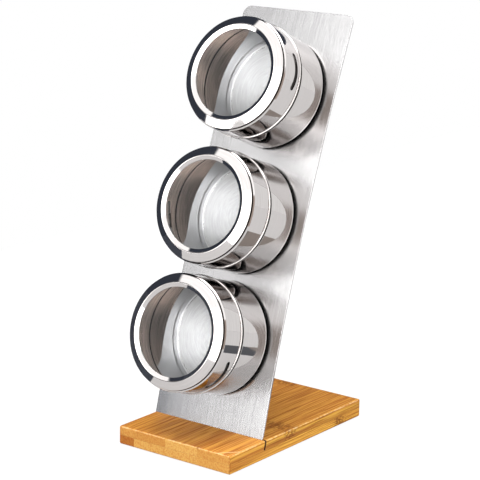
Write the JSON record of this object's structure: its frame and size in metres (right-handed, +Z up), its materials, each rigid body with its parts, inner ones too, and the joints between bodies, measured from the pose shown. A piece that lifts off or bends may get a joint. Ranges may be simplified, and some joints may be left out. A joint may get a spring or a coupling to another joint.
{
  "type": "magnetic spice stand",
  "caption": "Free-standing spice stand: a bowed steel plate leans back from a slotted bamboo base and holds round magnetic tins with clear-windowed twist lids.",
  "frame": {"origin": "centre of the base's underside, where it stands on a table", "axes": "+X to the right seen from the front, the front towards -Y, +Z up"},
  "size_m": [0.078, 0.1309, 0.2367],
  "materials": {
    "bamboo": "oiled bamboo strips, fibres front to back",
    "plate_steel": "brushed upright",
    "tin_steel": "polished outside, brushed inside",
    "lid_steel": "polished",
    "window": "clear plastic",
    "gasket": "translucent white silicone",
    "magnet": "dark ferrite disc"
  },
  "bodies": {
    "base": {"base_front_strip_1": "bamboo", "base_front_strip_2": "bamboo", "base_front_strip_3": "bamboo", "base_front_strip_4": "bamboo", "base_rear_strip_1": "bamboo", "base_rear_strip_2": "bamboo", "base_rear_strip_3": "bamboo", "base_rear_strip_4": "bamboo", "base_lower_strip_1": "bamboo", "base_lower_strip_2": "bamboo", "base_lower_strip_3": "bamboo", "base_lower_strip_4": "bamboo"},
    "plate": {"back_plate": "plate_steel"},
    "lower_tin": {"lower_tin_body": "tin_steel", "lower_magnet": "magnet"},
    "lower_lid_seat": {"lower_lid_gasket": "gasket"},
    "lower_lid": {"lower_lid_shell": "lid_steel", "lower_lid_window": "window"},
    "middle_tin": {"middle_tin_body": "tin_steel", "middle_magnet": "magnet"},
    "middle_lid_seat": {"middle_lid_gasket": "gasket"},
    "middle_lid": {"middle_lid_shell": "lid_steel", "middle_lid_window": "window"},
    "upper_tin": {"upper_tin_body": "tin_steel", "upper_magnet": "magnet"},
    "upper_lid_seat": {"upper_lid_gasket": "gasket"},
    "upper_lid": {"upper_lid_shell": "lid_steel", "upper_lid_window": "window"}
  },
  "joints": [
    {"name": "plate_lift", "type": "slide", "parent": "base", "child": "plate", "axis": [0, 0.2521, 0.9677], "range_m": [0, 0.03]},
    {"name": "lower_tin_pull", "type": "slide", "parent": "plate", "child": "lower_tin", "axis": [0, -0.9587, 0.2844], "range_m": [0, 0.05]},
    {"name": "lower_lid_pull", "type": "slide", "parent": "lower_tin", "child": "lower_lid_seat", "axis": [0, -0.9587, 0.2844], "range_m": [0, 0.03]},
    {"name": "lower_lid_twist", "type": "hinge", "parent": "lower_lid_seat", "child": "lower_lid", "pos_m": [-0.0029, -0.04397, 0.06656], "axis": [0, -0.9587, 0.2844], "continuous": true},
    {"name": "middle_tin_pull", "type": "slide", "parent": "plate", "child": "middle_tin", "axis": [0, -0.9446, 0.3284], "range_m": [0, 0.05]},
    {"name": "middle_lid_pull", "type": "slide", "parent": "middle_tin", "child": "middle_lid_seat", "axis": [0, -0.9446, 0.3284], "range_m": [0, 0.03]},
    {"name": "middle_lid_twist", "type": "hinge", "parent": "middle_lid_seat", "child": "middle_lid", "pos_m": [-0.002, -0.02249, 0.13329], "axis": [0, -0.9446, 0.3284], "continuous": true},
    {"name": "upper_tin_pull", "type": "slide", "parent": "plate", "child": "upper_tin", "axis": [0, -0.9277, 0.3734], "range_m": [0, 0.05]},
    {"name": "upper_lid_pull", "type": "slide", "parent": "upper_tin", "child": "upper_lid_seat", "axis": [0, -0.9277, 0.3734], "range_m": [0, 0.03]},
    {"name": "upper_lid_twist", "type": "hinge", "parent": "upper_lid_seat", "child": "upper_lid", "pos_m": [-0.0023, 0.00316, 0.2017], "axis": [0, -0.9277, 0.3734], "continuous": true}
  ]
}
